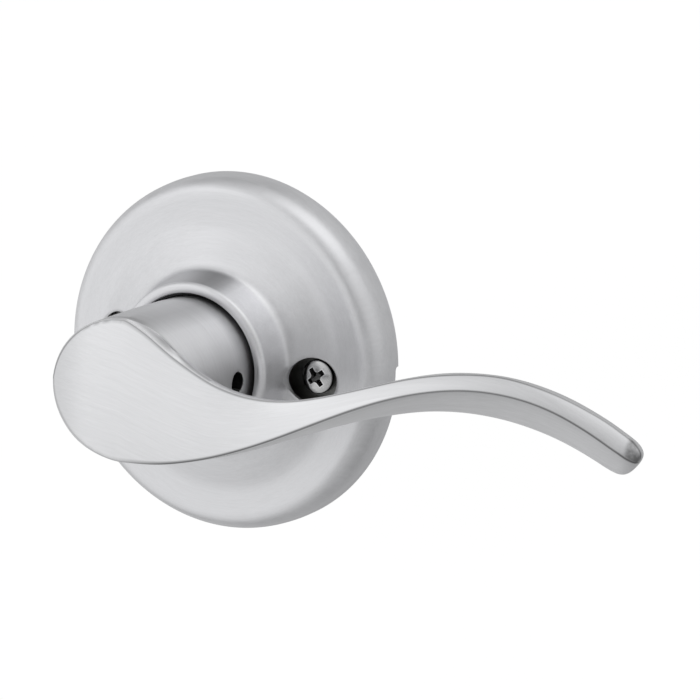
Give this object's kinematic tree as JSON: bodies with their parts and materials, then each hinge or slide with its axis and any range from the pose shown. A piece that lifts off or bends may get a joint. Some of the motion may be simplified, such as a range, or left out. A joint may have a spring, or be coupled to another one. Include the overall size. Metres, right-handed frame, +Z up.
{
  "type": "lever handle lockset trim",
  "caption": "Inside trim half of a tubular passage lever lockset: wave-shaped lever on a round rose with exposed mounting screws, sprung drive sleeve, half-round spindle and release catch.",
  "frame": {"origin": "where the lever's turning axis meets the door face, which is the plane of the rose's rear rim", "axes": "+X from the axis towards the lever's tip, +Y into the door along the turning axis, +Z up"},
  "size_m": [0.1414, 0.0844, 0.072],
  "materials": {
    "satin_chrome": "satin brushed chrome plate",
    "zinc_plate": "zinc plated pressed steel",
    "steel_dark": "bare hardened steel, satin",
    "spring_steel": "oiled spring wire",
    "screw_nickel": "nickel plated, polished",
    "nylon_black": "moulded nylon, matt",
    "bronze_bearing": "sintered bronze, oiled"
  },
  "bodies": {
    "rose_side": {"rose": "satin_chrome", "rose_bushing": "nylon_black", "rose_snap_ring": "spring_steel", "mounting_plate": "zinc_plate", "plate_bearing": "bronze_bearing", "spring_housing": "zinc_plate", "housing_cover": "zinc_plate", "cover_screws": "screw_nickel", "housing_rivets": "steel_dark", "stop_pin": "steel_dark", "return_spring": "spring_steel", "mounting_screws": "screw_nickel"},
    "lever_side": {"lever": "satin_chrome", "drive_sleeve": "steel_dark", "spring_driver": "steel_dark", "thrust_washer": "steel_dark", "disc_spring_washer": "spring_steel", "retaining_clip": "spring_steel", "spindle": "steel_dark", "spindle_pin": "steel_dark", "catch_spring": "spring_steel", "catch_spring_seat": "steel_dark"},
    "catch": {"lever_catch": "steel_dark"}
  },
  "joints": [
    {"name": "lever_turn", "type": "hinge", "parent": "rose_side", "child": "lever_side", "pos_m": [0, 0, 0], "axis": [0, 1, 0], "range_deg": [-50, 50], "stiffness_Nm_per_rad": 0.35, "deforming": ["return_spring"]},
    {"name": "catch_push", "type": "slide", "parent": "lever_side", "child": "catch", "axis": [-1, 0, 0], "range_m": [0, 0.0024], "stiffness_N_per_m": 900, "deforming": ["catch_spring"]}
  ]
}
